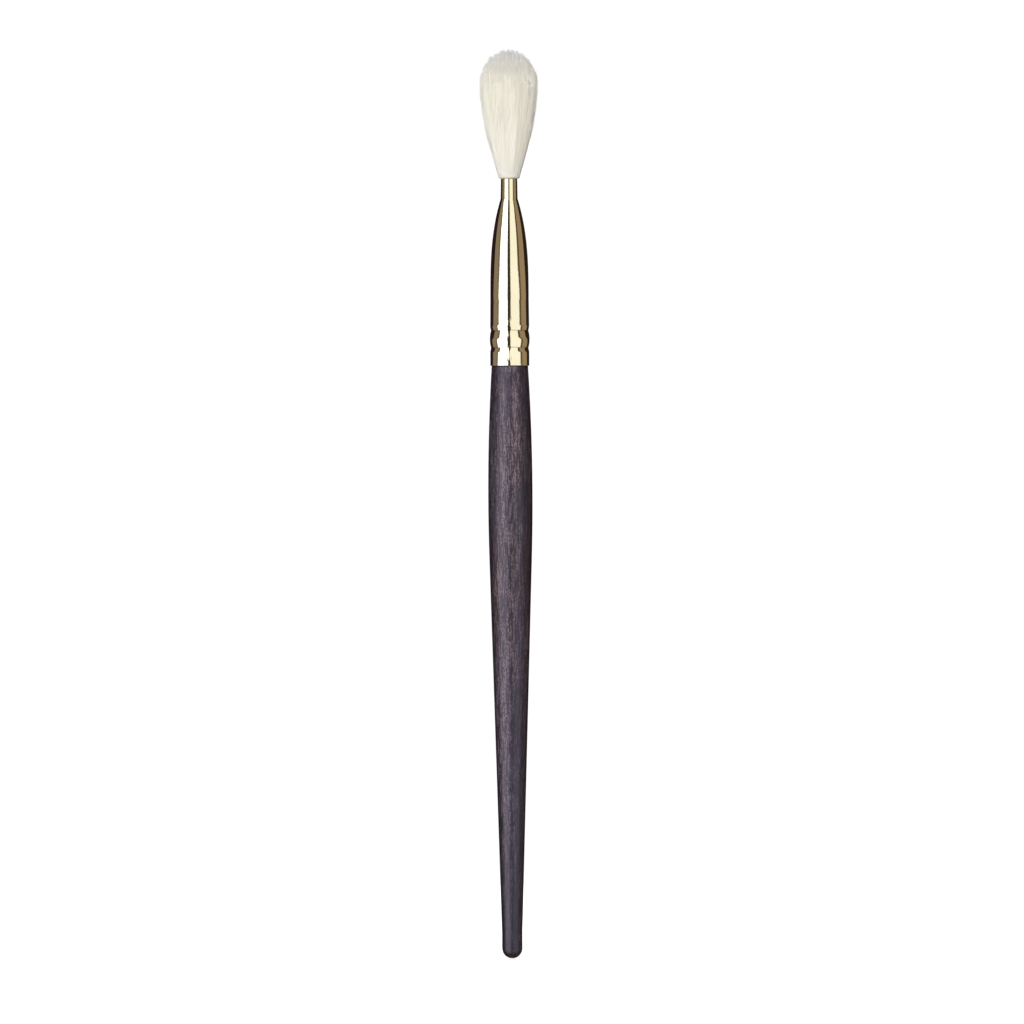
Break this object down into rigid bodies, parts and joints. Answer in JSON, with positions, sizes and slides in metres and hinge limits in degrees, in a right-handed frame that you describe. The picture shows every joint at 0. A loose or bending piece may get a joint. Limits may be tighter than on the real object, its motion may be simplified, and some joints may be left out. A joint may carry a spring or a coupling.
{
  "type": "round mop brush",
  "caption": "Slim turned wooden handle in a crimped brass ferrule with a domed soft hair tuft that bends at the ferrule mouth, for calligraphy and washes.",
  "frame": {"origin": "the lowest point of the rounded butt, on the brush's axis", "axes": "+Z runs from the butt up the handle to the tuft; +X is to the right and -Y towards the viewer with the brush upright, and the tuft bends about Y"},
  "size_m": [0.0124, 0.0124, 0.19],
  "materials": {
    "stained_wood": "charcoal and aubergine stain under a thin satin lacquer, open pores and paler grain streaks along the handle",
    "wood_glue": "cured amber cement, a thin film",
    "polished_brass": "drawn, crimped and polished pale brass",
    "hair_resin": "cast clear amber resin",
    "binding_thread": "twisted waxed linen thread",
    "glued_hair": "hair roots soaked with resin",
    "core_hair": "soft ivory goat hair, slightly yellow",
    "mantle_hair": "finer off-white goat hair, translucent at its tips"
  },
  "bodies": {
    "handle": {"handle": "stained_wood", "tenon_glue": "wood_glue", "ferrule": "polished_brass", "resin_plug": "hair_resin", "hair_binding": "binding_thread", "hair_root": "glued_hair"},
    "tuft": {"hair_core": "core_hair", "hair_mantle": "mantle_hair"}
  },
  "joints": [
    {"name": "tuft_bend", "type": "hinge", "parent": "handle", "child": "tuft", "pos_m": [0, 0, 0.1643], "axis": [0, 1, 0], "range_deg": [-40, 40], "stiffness_Nm_per_rad": 0.004}
  ]
}
